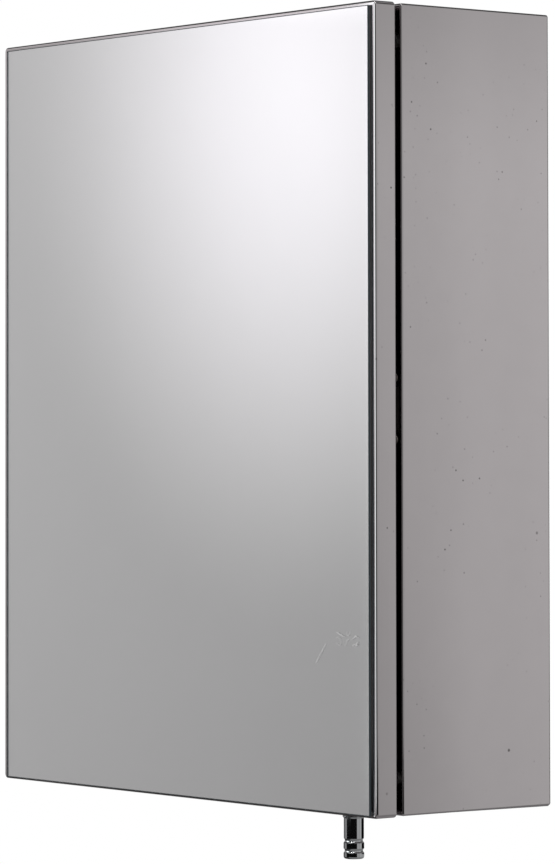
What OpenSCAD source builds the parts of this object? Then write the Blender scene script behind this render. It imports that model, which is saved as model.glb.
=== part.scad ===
// Mirrored medicine cabinet in polished stainless steel.
// X runs to the right, the door faces -Y and Z is up. The wall is the plane y = 0.
// The origin is the middle of the back panel's wall face.

/* [Cabinet] */
// Width of the body and of the door in front of it
cabinet_w = 343; // [300:1:420]
// Height of the door
door_h = 430; // [380:1:600]
// How far the door stands out above and below the body
door_reveal = 0.6; // [0:0.1:2]
// Depth of the body, from the wall to its front flange
body_d = 105.5; // [95:0.5:150]
// Thickness of the folded steel sheet
sheet_t = 0.8; // [0.6:0.1:1.2]
// Inside radius of every fold in the sheet
fold_r = 0.4; // [0.4:0.1:1.2]
// Distance from the outside of the body to its front opening
front_flange = 12; // [11:0.5:14]
// Distance from the outside of the body to the opening behind the back panel
rear_flange = 15; // [12:1:25]
// Thickness of the back panel
back_t = 0.8; // [0.6:0.1:1.5]
// Distance from the edge of the back panel to the side of the body
back_inset = 3; // [2.5:0.5:6]

/* [Wall fixings] */
// Sideways distance between the two fixings of a row
fixing_spacing = 220; // [160:5:240]
// Distance from the top or the bottom of the body to its row of fixings
fixing_inset = 48; // [35:1:60]
// Radius of the hole that a screw head passes through
keyhole_head_r = 5; // [4.5:0.1:6]
// Radius of the narrow end of a keyhole, and of a lower fixing hole
fixing_hole_r = 2.75; // [2.5:0.05:3]
// How far a keyhole's narrow end rises above its round hole
keyhole_rise = 9; // [8:0.5:12]

/* [Door] */
// Depth of the folded door tray
tray_d = 14; // [13:0.5:20]
// Gap between the closed door and the body
door_gap = 3.6; // [2.8:0.1:5]
// Width of the return folded behind the edge of the door
door_return = 12; // [11:0.5:18]
// Thickness of the flat sheet that closes the back of the tray
inner_panel_t = 0.8; // [0.6:0.1:1.2]

/* [Mirror] */
// Thickness of the mirror glass
glass_t = 1.5; // [1:0.1:5]
// Width of the steel rim that shows beside the glass
mirror_rim = 4.5; // [2:0.1:6]
// Width of the steel rim that shows above the glass
mirror_rim_top = 2.4; // [1:0.1:6]
// Width of the steel rim that shows below the glass
mirror_rim_bottom = 1.2; // [1:0.1:6]
// Thickness of the silver and its backing paint
silver_t = 0.1; // [0.1:0.05:0.3]
// Thickness of the mounting tape
tape_t = 0.15; // [0.1:0.05:1]
// Width of one strip of mounting tape
tape_w = 25; // [15:1:35]
// Number of strips of mounting tape
tape_count = 5; // [3:1:6]
// Distance from the top or the bottom of the glass to the tape
tape_end = 20; // [10:1:40]

/* [Hinges] */
// Distance from the top or the bottom of the door to a hinge's middle
hinge_inset = 65; // [55:1:80]
// Height of a hinge arm
arm_h = 24; // [18:1:30]
// Thickness of a hinge arm
arm_t = 3; // [2.5:0.1:3.4]
// Inside radius of a bend in a hinge arm
arm_bend_r = 2; // [1:0.5:3]
// Length of the foot of a hinge arm along the wall of the body
foot_l = 30; // [26:1:36]
// Distance from the front of the body to the leg of a hinge arm
leg_setback = 15; // [12:1:20]
// Thickness of the plate welded to the wall of the body
base_t = 2; // [1.5:0.1:3]
// Height of the pad that the foot is screwed to
pad_t = 2.5; // [2:0.1:3.5]
// Height of the welded plate
base_h = 44; // [36:1:50]
// Radius of a hinge pin
pin_r = 2.5; // [2:0.1:2.8]
// Thickness of the eye round a hinge pin
eye_wall = 2; // [1.5:0.1:2.2]
// Opening angle at which the arm meets the door's return
stop_angle = 112; // [105:1:118]
// Thickness of the sheet that a hinge box is folded from
box_t = 1.2; // [1:0.1:1.5]

/* [Shelves] */
// Thickness of a glass shelf
shelf_t = 5; // [4:0.5:6]
// Distance from the front of a shelf to the front flange
shelf_front_gap = 8; // [5:1:20]
// Distance from the back of a shelf to the rear flange
shelf_back_gap = 4; // [2:1:15]
// Distance between two holes in a shelf rail
hole_pitch = 25; // [20:1:32]
// Number of holes from the middle of a rail to a shelf
shelf_hole = 3; // [2:1:4]
// Width of a shelf rail
rail_w = 12; // [10:0.5:16]
// Height of a shelf rail above the wall of the body
rail_h = 5; // [4:0.5:8]
// Thickness of a shelf rail
rail_t = 1; // [0.8:0.1:1.5]
// Distance from the end of a shelf to the middle of a rail
rail_setback = 13; // [10:1:24]
// Radius of a shelf pin
shelf_pin_r = 2; // [1.8:0.1:2.5]
// Length of the sleeve on a shelf pin
sleeve_l = 8; // [6:0.5:10]
// Thickness of the sleeve on a shelf pin
sleeve_t = 1.5; // [1:0.1:2]

/* [Catch] */
// Height of the strike plate on the door
strike_h = 30; // [26:1:36]
// Width of the strike plate
strike_w = 8.6; // [8:0.1:8.8]
// Thickness of the strike plate
strike_t = 1; // [0.8:0.1:1.2]
// Length of the magnet
magnet_l = 22; // [18:1:24]
// Thickness of the magnet
magnet_t = 3; // [2:0.5:3.5]
// Depth of the magnet
magnet_d = 9; // [6:0.5:12]
// Thickness of a pole plate
pole_t = 1; // [0.8:0.1:1.2]
// Thickness of the wall of the catch housing
housing_wall = 1.8; // [1.2:0.1:2]
// Radius of a bumper
bumper_r = 3.5; // [3:0.1:4.2]
// Distance from the top or the bottom of the door to a bumper
bumper_inset = 20; // [12:1:40]

/* [Pull] */
// Distance from the right edge of the door to the middle of the pull
pull_inset = 28; // [18:0.5:40]
// Length of the pull below the door
pull_l = 23; // [22:0.5:35]
// Radius of the pull's shaft
pull_r = 5.35; // [4.8:0.05:6]
// Depth of a groove in the pull
groove_depth = 0.65; // [0.3:0.05:1]
// Width of a groove in the pull
groove_w = 2.4; // [1.6:0.1:3]
// How far a bead stands out past the shaft
bead_out = 0.15; // [0:0.05:0.5]
// Height of the pull's middle bead
bead_h = 2.9; // [2:0.1:4]
// Height of the pull's end bead
end_bead_h = 3.1; // [2.5:0.1:5]
// Height of the collar against the door
collar_h = 1.5; // [1:0.1:2.5]
// How far the collar stands out past the shaft
collar_out = 0.6; // [0.2:0.1:1]

/* [Screws and rivets] */
// Radius of a hinge screw and of the screw in the pull
screw_r = 2; // [1.5:0.1:2.2]
// Radius of the head of such a screw
screw_head_r = 3.8; // [3.2:0.1:4]
// Height of the head of such a screw
screw_head_h = 2.4; // [1.5:0.1:3]
// Radius of a catch screw
catch_screw_r = 1.4; // [1.2:0.1:1.6]
// Height of the head of a catch screw
catch_head_h = 1.2; // [0.8:0.1:1.6]
// Radius of a rivet
rivet_r = 1.5; // [1.2:0.1:1.8]

/* [Clearances] */
// Gap between the closed door and what it meets
rest_gap = 0.3; // [0.2:0.05:0.5]
// Gap all round a hinge pin in its arm
running_gap = 0.05; // [0.02:0.01:0.1]
// Gap all round a screw in its thread and a pin in a fixed hole
thread_gap = 0.03; // [0.01:0.01:0.1]
// Gap all round a screw in a clearance hole
screw_gap = 0.2; // [0.1:0.05:0.4]
// Gap between a hinge arm and what it moves past
arm_gap = 1; // [0.6:0.1:1.5]
// Gap between the door's corner and the run of a hinge arm
corner_gap = 0.65; // [0.4:0.05:1.5]
// Gap on each side of an arm between the ears of its box
ear_gap = 0.3; // [0.2:0.05:0.6]
// Gap beside the end of a shelf
shelf_gap = 0.7; // [0.5:0.1:2]
// Gap between the folds of the door tray and what lies inside it
tray_fit_gap = 0.2; // [0.1:0.05:0.5]
// Gap between the door's core and a piece that it is cut away for
core_gap = 0.7; // [0.3:0.1:1.5]

/* [Hidden] */

$fn = 48;
FOLD_STEPS = 6;
GROOVE_STEPS = 8;
// Cutters reach this far past the faces they cut
CUT = 1;

outer_r = fold_r + sheet_t;
body_h = door_h - 2 * door_reveal;

// Planes from the wall forward
rear_flange_y = -back_t;
body_front_y = -body_d;
door_back_y = body_front_y - door_gap;
tray_front_y = door_back_y - tray_d;
silver_back_y = tray_front_y - tape_t;
glass_back_y = silver_back_y - silver_t;
glass_front_y = glass_back_y - glass_t;

// Inside faces of the body
side_in_x = cabinet_w / 2 - sheet_t;
flange_in_y = body_front_y + sheet_t;
rear_in_y = rear_flange_y - sheet_t;

// What lies inside the tray stands this far from its walls, clear of the folds
tray_side_gap = fold_r + tray_fit_gap;
tray_in_y = tray_front_y + sheet_t;
panel_back_y = door_back_y - sheet_t;
panel_front_y = panel_back_y - inner_panel_t;

// Hinges
hinge_z = door_h / 2 - hinge_inset;
eye_r = pin_r + running_gap + eye_wall;
eye_wall_gap = 0.7;
pivot_in = sheet_t + eye_wall_gap + eye_r;
pivot_back = tray_d - sheet_t - box_t - arm_gap - eye_r;
pivot_x = -cabinet_w / 2 + pivot_in;
pivot_y = door_back_y - pivot_back;
corner_reach = norm([pivot_in, pivot_back]);
run_in = max(pivot_in + corner_reach + corner_gap, front_flange + arm_gap);
run_x = -cabinet_w / 2 + run_in;
leg_y = body_front_y + leg_setback;
base_x = -side_in_x;
foot_x = base_x + base_t + pad_t;
base_margin = 2;
foot_screw_edge = arm_bend_r + arm_t + screw_head_r + screw_gap;
screw_end_gap = 0.5;
cross_half_l = 2.1;
cross_half_w = 0.55;
foot_screw_ys = [leg_y + foot_screw_edge, leg_y + foot_l - foot_screw_edge];
// The tray's return is cut back to this stub, which the open arm comes to rest against
return_stub = pivot_in - pivot_back * tan(stop_angle - 90);
box_in_x = -cabinet_w / 2 + sheet_t + tray_side_gap;
box_wall_x = run_x + arm_t + 2 * arm_gap;
box_half_h = arm_h / 2 + ear_gap + box_t;
pin_lip = 0.9;
pin_head_r = pin_r + pin_lip;
pin_head_h = 0.8;
pin_tail = 0.4;
notch_half_h = box_half_h + pin_tail;

// Shelves
rail_end_gap = 6;
rail_l = 2 * (hinge_z - base_h / 2 - rail_end_gap);
rail_end_margin = 8;
rail_holes = floor((rail_l / 2 - rail_end_margin) / hole_pitch);
shelf_pin_z = min(shelf_hole, rail_holes) * hole_pitch;
sleeve_r = shelf_pin_r + thread_gap + sleeve_t;
pin_collar_t = 1;
pin_collar_lip = 0.5;
pin_collar_r = sleeve_r + pin_collar_lip;
pin_nose = 0.5;
pin_wall_gap = 1;
rail_face_x = side_in_x - rail_h;
shelf_w = 2 * (rail_face_x - pin_collar_t - shelf_gap);
shelf_front_y = flange_in_y + shelf_front_gap;
shelf_back_y = rear_in_y - shelf_back_gap;
rail_front_y = shelf_front_y + rail_setback;
rail_rear_y = shelf_back_y - rail_setback;

// The catch and the bumpers stand this far from the inner edge of the narrower flange
seat_edge = 0.3;
seat_x = cabinet_w / 2 - min(front_flange, door_return) + seat_edge;
bumper_x = seat_x + bumper_r;

// Catch
catch_pack_w = magnet_t + 2 * pole_t;
pole_front_y = door_back_y + strike_t + rest_gap;
pole_back_y = flange_in_y + magnet_d;
housing_w = catch_pack_w + 2 * housing_wall;
catch_x = seat_x + max(housing_w, strike_w) / 2;
housing_back_y = pole_back_y + housing_wall;
catch_head_r = 2 * catch_screw_r;
catch_head_gap = 0.6;
catch_screw_z = magnet_l / 2 + housing_wall + catch_head_r + catch_head_gap;
housing_half_h = catch_screw_z + catch_head_r + catch_head_gap;
catch_screw_l = 8;
rivet_edge = 4;
rivet_z = strike_h / 2 - rivet_edge;
rivet_lip = 0.9;
rivet_head_r = rivet_r + rivet_lip;
rivet_head_h = 1;

// Pull
pull_x = cabinet_w / 2 - pull_inset;
pull_y = door_back_y - tray_d / 2;
pull_top_z = -door_h / 2;
pull_screw_l = 9;
pull_bore_l = pull_screw_l + 1;
// Radius of the edge round the pull's end
pull_round = 1.2;

// ---------------------------------------------------------------- shared shapes

function arc(cx, cy, r, a0, a1) = [
    for (i = [0:FOLD_STEPS])
        let (a = a0 + (a1 - a0) * i / FOLD_STEPS)
            [cx + r * cos(a), cy + r * sin(a)]
];

function rounded_points(w, h, r) = concat(
    arc(w / 2 - r, h / 2 - r, r, 0, 90),
    arc(r - w / 2, h / 2 - r, r, 90, 180),
    arc(r - w / 2, r - h / 2, r, 180, 270),
    arc(w / 2 - r, r - h / 2, r, 270, 360)
);

// A box between two corners
module block(low, high) {
    translate(low)
        cube(high - low);
}

// A box, centred, with every edge folded round at one radius
module folded_block(w, d, h, r) {
    intersection() {
        rotate([90, 0, 0])
            linear_extrude(d, center = true)
                polygon(rounded_points(w, h, r));
        linear_extrude(h, center = true)
            polygon(rounded_points(w, d, r));
        rotate([90, 0, 90])
            linear_extrude(w, center = true)
                polygon(rounded_points(d, h, r));
    }
}

// A closed box of folded sheet, centred in X and Z, between two Y planes
module sheet_box(w, h, front_y, back_y) {
    d = back_y - front_y;
    translate([0, (front_y + back_y) / 2, 0])
        difference() {
            folded_block(w, d, h, outer_r);
            folded_block(w - 2 * sheet_t, d - 2 * sheet_t, h - 2 * sheet_t, fold_r);
        }
}

// The cutter for an opening centred in X and Z
module opening(w, h, front_y, back_y) {
    block([-w / 2, front_y, -h / 2], [w / 2, back_y, h / 2]);
}

module rod_x(x0, x1, y, z, r) {
    translate([x0, y, z])
        rotate([0, 90, 0])
            cylinder(h = x1 - x0, r = r);
}

module rod_y(x, y0, y1, z, r) {
    translate([x, y0, z])
        rotate([-90, 0, 0])
            cylinder(h = y1 - y0, r = r);
}

module rod_z(x, y, z0, z1, r) {
    translate([x, y, z0])
        cylinder(h = z1 - z0, r = r);
}

// ---------------------------------------------------------------- cabinet

// A point on the diagonal through a corner of the body, this far in from its sides
function on_mitre(corner, depth) = [
    corner[0] * (cabinet_w / 2 - depth),
    corner[1] * (body_h / 2 - depth)
];

// The panel between two neighbouring corners of the body, folded round along its front and
// back, and mitred at its ends. A corner is a pair of signs: right or left, and top or bottom
module body_panel(corner_a, corner_b) {
    reach = outer_r + CUT;
    color("#a8a3a2")
        intersection() {
            difference() {
                sheet_box(cabinet_w, body_h, body_front_y, rear_flange_y);
                opening(cabinet_w - 2 * outer_r, body_h - 2 * outer_r, body_front_y - CUT, CUT);
            }
            translate([0, CUT, 0])
                rotate([90, 0, 0])
                    linear_extrude(body_d + 2 * CUT)
                        polygon([
                            on_mitre(corner_a, -CUT), on_mitre(corner_b, -CUT),
                            on_mitre(corner_b, reach), on_mitre(corner_a, reach)
                        ]);
        }
}

// A flat frame welded inside the folds of the body, between two Y planes
module body_frame(flange, front_y, back_y) {
    open_w = cabinet_w - 2 * flange;
    open_h = body_h - 2 * flange;
    difference() {
        opening(cabinet_w - 2 * outer_r, body_h - 2 * outer_r, front_y, back_y);
        opening(open_w, open_h, front_y - CUT, back_y + CUT);
    }
}

module front_frame() {
    color("#9f9a99")
        difference() {
            body_frame(front_flange, body_front_y, flange_in_y);
            catch_slot();
            for (z = [-catch_screw_z, catch_screw_z])
                rod_y(catch_x, body_front_y - CUT, flange_in_y + CUT, z, catch_screw_r + screw_gap);
        }
}

module rear_frame() {
    color("#9f9a99")
        body_frame(rear_flange, rear_in_y, rear_flange_y);
}

// The slot in the front frame that the pole plates reach through
module catch_slot() {
    half_w = catch_pack_w / 2 + screw_gap;
    half_h = magnet_l / 2 + screw_gap;
    block([catch_x - half_w, body_front_y - CUT, -half_h], [catch_x + half_w, flange_in_y + CUT, half_h]);
}

module back_panel() {
    half_w = cabinet_w / 2 - back_inset;
    half_h = body_h / 2 - back_inset;
    row_z = body_h / 2 - fixing_inset;
    color("#9c9896")
        difference() {
            block([-half_w, -back_t, -half_h], [half_w, 0, half_h]);
            for (x = [-fixing_spacing / 2, fixing_spacing / 2]) {
                keyhole(x, row_z);
                rod_y(x, -back_t - CUT, CUT, -row_z, fixing_hole_r);
            }
        }
}

module keyhole(x, z) {
    rod_y(x, -back_t - CUT, CUT, z, keyhole_head_r);
    rod_y(x, -back_t - CUT, CUT, z + keyhole_rise, fixing_hole_r);
    block([x - fixing_hole_r, -back_t - CUT, z], [x + fixing_hole_r, CUT, z + keyhole_rise]);
}

// A channel welded to the side wall. Side is -1 on the left and 1 on the right
module shelf_rail(side, y) {
    hole_r = shelf_pin_r + thread_gap;
    color("#b4b2b0")
        mirror([side < 0 ? 1 : 0, 0, 0])
            difference() {
                block([rail_face_x, y - rail_w / 2, -rail_l / 2], [side_in_x, y + rail_w / 2, rail_l / 2]);
                block([rail_face_x + rail_t, y - rail_w / 2 + rail_t, -rail_l / 2 - CUT],
                      [side_in_x + CUT, y + rail_w / 2 - rail_t, rail_l / 2 + CUT]);
                for (i = [-rail_holes:rail_holes])
                    rod_x(rail_face_x - CUT, rail_face_x + rail_t + CUT, y, i * hole_pitch, hole_r);
            }
}

module at_shelf_corners(pin_z) {
    for (side = [0, 1], y = [rail_front_y, rail_rear_y])
        mirror([side, 0, 0])
            translate([rail_face_x, y, pin_z])
                children();
}

module shelf_pins(pin_z) {
    tail = rail_h - pin_wall_gap;
    nose = pin_collar_t + sleeve_l + pin_nose;
    color("#c8c8c8")
        at_shelf_corners(pin_z)
            union() {
                rod_x(-nose, tail, 0, 0, shelf_pin_r);
                rod_x(-pin_collar_t, 0, 0, 0, pin_collar_r);
            }
}

module pin_sleeves(pin_z) {
    color("#e8ecec", 0.6)
        at_shelf_corners(pin_z)
            difference() {
                rod_x(-pin_collar_t - sleeve_l, -pin_collar_t, 0, 0, sleeve_r);
                rod_x(-pin_collar_t - sleeve_l - CUT, -pin_collar_t + CUT, 0, 0, shelf_pin_r + thread_gap);
            }
}

module glass_shelf(pin_z) {
    low_z = pin_z + sleeve_r;
    color("#bfe0d8", 0.5)
        block([-shelf_w / 2, shelf_front_y, low_z], [shelf_w / 2, shelf_back_y, low_z + shelf_t]);
}

module hinge_base(z) {
    pad_x = base_x + base_t;
    color("#8f8f90")
        translate([0, 0, z])
            difference() {
                union() {
                    block([base_x, leg_y - base_margin, -base_h / 2],
                          [pad_x, leg_y + foot_l + base_margin, base_h / 2]);
                    block([pad_x, leg_y, -arm_h / 2], [foot_x, leg_y + foot_l, arm_h / 2]);
                }
                for (y = foot_screw_ys)
                    rod_x(base_x - CUT, foot_x + CUT, y, 0, screw_r + thread_gap);
            }
}

// The cranked arm, seen from above
function arm_outline() = let (
        bend_in = arm_bend_r,
        bend_out = arm_bend_r + arm_t,
        turn_x = run_x - arm_bend_r,
        foot_out_x = foot_x + arm_t,
        foot_end_y = leg_y + foot_l
    ) concat(
        [[pivot_x, pivot_y]],
        arc(turn_x, pivot_y + bend_in, bend_in, -90, 0),
        arc(turn_x, leg_y - bend_in, bend_in, 0, 90),
        arc(foot_x + bend_out, leg_y + bend_out, bend_out, -90, -180),
        [[foot_x, foot_end_y], [foot_out_x, foot_end_y]],
        arc(foot_out_x + bend_in, leg_y + bend_out, bend_in, 180, 270),
        arc(turn_x, leg_y - bend_in, bend_out, 90, 0),
        arc(turn_x, pivot_y + bend_in, bend_out, 0, -90),
        [[pivot_x, pivot_y - arm_t]]
    );

module hinge_arm(z) {
    color("#b9b9ba")
        translate([0, 0, z])
            difference() {
                union() {
                    linear_extrude(arm_h, center = true)
                        polygon(arm_outline());
                    rod_z(pivot_x, pivot_y, -arm_h / 2, arm_h / 2, eye_r);
                }
                rod_z(pivot_x, pivot_y, -arm_h / 2 - CUT, arm_h / 2 + CUT, pin_r + running_gap);
                for (y = foot_screw_ys)
                    rod_x(foot_x - CUT, foot_x + arm_t + CUT, y, 0, screw_r + screw_gap);
            }
}

module hinge_screws() {
    head_x = foot_x + arm_t;
    color("#d0d0d2")
        for (z = [-hinge_z, hinge_z], y = foot_screw_ys)
            difference() {
                union() {
                    rod_x(base_x + screw_end_gap, head_x, y, z, screw_r);
                    rod_x(head_x, head_x + screw_head_h, y, z, screw_head_r);
                }
                cross_slot(head_x + screw_head_h, y, z);
            }
}

// The cross in a screw head that faces right
module cross_slot(top_x, y, z) {
    depth = screw_head_h / 2;
    block([top_x - depth, y - cross_half_l, z - cross_half_w],
          [top_x + CUT, y + cross_half_l, z + cross_half_w]);
    block([top_x - depth, y - cross_half_w, z - cross_half_l],
          [top_x + CUT, y + cross_half_w, z + cross_half_l]);
}

module catch_housing() {
    half_w = housing_w / 2;
    cavity_half_w = catch_pack_w / 2 + thread_gap;
    cavity_half_h = magnet_l / 2 + thread_gap;
    ear_y = flange_in_y + catch_screw_l;
    core_half_h = magnet_l / 2 + housing_wall;
    color("#f0f0ee")
        difference() {
            union() {
                block([catch_x - half_w, flange_in_y, -core_half_h],
                      [catch_x + half_w, housing_back_y, core_half_h]);
                block([catch_x - half_w, flange_in_y, -housing_half_h],
                      [catch_x + half_w, ear_y, housing_half_h]);
            }
            block([catch_x - cavity_half_w, flange_in_y - CUT, -cavity_half_h],
                  [catch_x + cavity_half_w, pole_back_y + thread_gap, cavity_half_h]);
            for (z = [-catch_screw_z, catch_screw_z])
                rod_y(catch_x, flange_in_y - CUT, ear_y + CUT, z, catch_screw_r + thread_gap);
        }
}

module catch_magnet() {
    color("#3c3c3e")
        block([catch_x - magnet_t / 2, flange_in_y, -magnet_l / 2],
              [catch_x + magnet_t / 2, pole_back_y, magnet_l / 2]);
}

module catch_plates() {
    color("#8a8a8c")
        for (side = [-1, 1])
            translate([catch_x + side * (magnet_t + pole_t) / 2, 0, 0])
                block([-pole_t / 2, pole_front_y, -magnet_l / 2], [pole_t / 2, pole_back_y, magnet_l / 2]);
}

module catch_screws() {
    color("#d0d0d2")
        for (z = [-catch_screw_z, catch_screw_z])
            union() {
                rod_y(catch_x, body_front_y, flange_in_y + catch_screw_l, z, catch_screw_r);
                rod_y(catch_x, body_front_y - catch_head_h, body_front_y, z, catch_head_r);
            }
}

// ---------------------------------------------------------------- door

module door_tray() {
    open_w = cabinet_w - 2 * door_return;
    open_h = door_h - 2 * door_return;
    color("#a39e9c")
        difference() {
            sheet_box(cabinet_w, door_h, tray_front_y, door_back_y);
            opening(open_w, open_h, panel_back_y - CUT, door_back_y + CUT);
            for (z = [-hinge_z, hinge_z])
                hinge_notch(z);
            rod_z(pull_x, pull_y, pull_top_z - CUT, pull_top_z + sheet_t + CUT, screw_r + screw_gap);
            rivet_holes(rivet_r + thread_gap);
        }
}

// The cut in the left return that lets an arm swing through
module hinge_notch(z) {
    block([return_stub - cabinet_w / 2, panel_back_y - CUT, z - notch_half_h],
          [door_return + CUT - cabinet_w / 2, door_back_y + CUT, z + notch_half_h]);
}

module rivet_holes(r) {
    for (z = [-rivet_z, rivet_z])
        rod_y(catch_x, panel_front_y - CUT, door_back_y + CUT, z, r);
}

// The room that a hinge box takes inside the door
module box_room(z, front_y, back_y) {
    half_h = box_half_h + pin_head_h + core_gap;
    block([-cabinet_w / 2, front_y, z - half_h], [box_wall_x + box_t + core_gap, back_y, z + half_h]);
}

module door_inner_panel() {
    half_w = cabinet_w / 2 - sheet_t - tray_side_gap;
    half_h = door_h / 2 - sheet_t - tray_side_gap;
    color("#9a9896")
        difference() {
            block([-half_w, panel_front_y, -half_h], [half_w, panel_back_y, half_h]);
            for (z = [-hinge_z, hinge_z])
                box_room(z, panel_front_y - CUT, panel_back_y + CUT);
            rivet_holes(rivet_r + thread_gap);
        }
}

module door_core() {
    half_w = cabinet_w / 2 - sheet_t - tray_side_gap;
    half_h = door_h / 2 - sheet_t - tray_side_gap;
    head_room = screw_head_h + core_gap;
    rivet_room = rivet_head_h + core_gap;
    color("#c9a877")
        difference() {
            block([-half_w, tray_in_y, -half_h], [half_w, panel_front_y, half_h]);
            for (z = [-hinge_z, hinge_z])
                box_room(z, tray_in_y - CUT, panel_front_y + CUT);
            rod_z(pull_x, pull_y, pull_top_z, pull_top_z + sheet_t + head_room, screw_head_r + core_gap);
            for (z = [-rivet_z, rivet_z])
                rod_y(catch_x, panel_front_y - rivet_room, panel_front_y + CUT, z, rivet_head_r + core_gap);
        }
}

module mirror_sheet(back_y, front_y) {
    half_w = cabinet_w / 2 - mirror_rim;
    half_h = door_h / 2;
    block([-half_w, front_y, mirror_rim_bottom - half_h], [half_w, back_y, half_h - mirror_rim_top]);
}

module mirror_glass() {
    color("#d6e6e4", 0.45)
        mirror_sheet(glass_back_y, glass_front_y);
}

module mirror_silvering() {
    color("#e9ebee")
        mirror_sheet(silver_back_y, glass_back_y);
}

module mirror_tape() {
    first_x = -cabinet_w / 2 + mirror_rim + tape_end + tape_w / 2;
    step = -2 * first_x / (tape_count - 1);
    low_z = mirror_rim_bottom + tape_end - door_h / 2;
    high_z = door_h / 2 - mirror_rim_top - tape_end;
    color("#f2f2ee")
        for (i = [0:tape_count - 1])
            translate([first_x + i * step, 0, 0])
                block([-tape_w / 2, silver_back_y, low_z], [tape_w / 2, tray_front_y, high_z]);
}

// A folded box inside the door. Its two ears hold the hinge pin
module hinge_box(z) {
    floor_y = tray_in_y + box_t;
    back_y = panel_back_y - tray_fit_gap;
    inner_half_h = arm_h / 2 + ear_gap;
    color("#9b9b9c")
        translate([0, 0, z])
            difference() {
                block([box_in_x, tray_in_y, -box_half_h], [box_wall_x + box_t, back_y, box_half_h]);
                block([box_in_x - CUT, floor_y, -inner_half_h], [box_wall_x, back_y + CUT, inner_half_h]);
                rod_z(pivot_x, pivot_y, -box_half_h - CUT, box_half_h + CUT, pin_r + thread_gap);
            }
}

module hinge_pin(z) {
    color("#d8d8da")
        translate([0, 0, z])
            union() {
                rod_z(pivot_x, pivot_y, -box_half_h - pin_tail, box_half_h, pin_r);
                rod_z(pivot_x, pivot_y, box_half_h, box_half_h + pin_head_h, pin_head_r);
            }
}

// Half of the pull's section, from the door down: radius, height below the door
function pull_profile() = let (
        bead_r = pull_r + bead_out,
        low_groove_z = pull_l - end_bead_h - groove_w,
        high_groove_z = low_groove_z - bead_h - groove_w
    ) concat(
        [[0, 0], [pull_r + collar_out, 0], [pull_r + collar_out, -collar_h / 2], [pull_r, -collar_h]],
        groove(pull_r, bead_r, high_groove_z),
        groove(bead_r, bead_r, low_groove_z),
        arc(bead_r - pull_round, pull_round - pull_l, pull_round, 0, -90),
        [[0, -pull_l]]
    );

// A hollow turned into the pull, half a sine wave deep
function groove(above_r, below_r, top_z) = [
    for (i = [0:GROOVE_STEPS])
        let (s = i / GROOVE_STEPS)
            [above_r + (below_r - above_r) * s - groove_depth * sin(180 * s), -top_z - groove_w * s]
];

module door_pull() {
    color("#d9dadc")
        translate([pull_x, pull_y, pull_top_z])
            difference() {
                rotate_extrude()
                    polygon(pull_profile());
                rod_z(0, 0, -pull_bore_l, CUT, screw_r + thread_gap);
            }
}

module pull_screw() {
    seat_z = pull_top_z + sheet_t;
    color("#d0d0d2")
        union() {
            rod_z(pull_x, pull_y, pull_top_z - pull_screw_l, seat_z, screw_r);
            rod_z(pull_x, pull_y, seat_z, seat_z + screw_head_h, screw_head_r);
        }
}

module strike_plate() {
    color("#8d8d8f")
        difference() {
            block([catch_x - strike_w / 2, door_back_y, -strike_h / 2],
                  [catch_x + strike_w / 2, door_back_y + strike_t, strike_h / 2]);
            for (z = [-rivet_z, rivet_z])
                rod_y(catch_x, door_back_y - CUT, door_back_y + strike_t + CUT, z, rivet_r + thread_gap);
        }
}

module strike_rivets() {
    color("#c4c4c6")
        for (z = [-rivet_z, rivet_z])
            union() {
                rod_y(catch_x, panel_front_y, door_back_y + strike_t, z, rivet_r);
                rod_y(catch_x, panel_front_y - rivet_head_h, panel_front_y, z, rivet_head_r);
            }
}

module door_bumpers() {
    bumper_z = door_h / 2 - bumper_inset;
    color("#eef0f0", 0.7)
        for (z = [-bumper_z, bumper_z])
            rod_y(bumper_x, door_back_y, body_front_y - rest_gap, z, bumper_r);
}

body_panel([-1, 1], [1, 1]);  // body_top
body_panel([-1, -1], [1, -1]);  // body_bottom
body_panel([-1, 1], [-1, -1]);  // body_side_left
body_panel([1, 1], [1, -1]);  // body_side_right
front_frame();
rear_frame();
back_panel();
shelf_rail(-1, rail_front_y);  // shelf_rail_left_front
shelf_rail(-1, rail_rear_y);  // shelf_rail_left_rear
shelf_rail(1, rail_front_y);  // shelf_rail_right_front
shelf_rail(1, rail_rear_y);  // shelf_rail_right_rear
glass_shelf(shelf_pin_z);  // shelf_upper
glass_shelf(-shelf_pin_z);  // shelf_lower
shelf_pins(shelf_pin_z);  // shelf_pins_upper
shelf_pins(-shelf_pin_z);  // shelf_pins_lower
pin_sleeves(shelf_pin_z);  // pin_sleeves_upper
pin_sleeves(-shelf_pin_z);  // pin_sleeves_lower
hinge_base(hinge_z);  // hinge_base_upper
hinge_base(-hinge_z);  // hinge_base_lower
hinge_arm(hinge_z);  // hinge_arm_upper
hinge_arm(-hinge_z);  // hinge_arm_lower
hinge_screws();
catch_housing();
catch_magnet();
catch_plates();
catch_screws();
door_tray();
door_inner_panel();
door_core();
mirror_glass();
mirror_silvering();
mirror_tape();
hinge_box(hinge_z);  // hinge_box_upper
hinge_box(-hinge_z);  // hinge_box_lower
hinge_pin(hinge_z);  // hinge_pin_upper
hinge_pin(-hinge_z);  // hinge_pin_lower
door_pull();
pull_screw();
strike_plate();
strike_rivets();
door_bumpers();
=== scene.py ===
# %% [markdown]
# # A mirrored medicine cabinet in polished stainless steel
#
# The cabinet is a shallow box of folded steel that hangs on a wall, with a mirror for a door.
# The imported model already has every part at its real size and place. This script gives those
# parts the small things that a model for machines leaves out: rounded sheet edges, polished
# faces, real glass, turned chrome and the light of a studio.

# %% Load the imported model
import math

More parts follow.
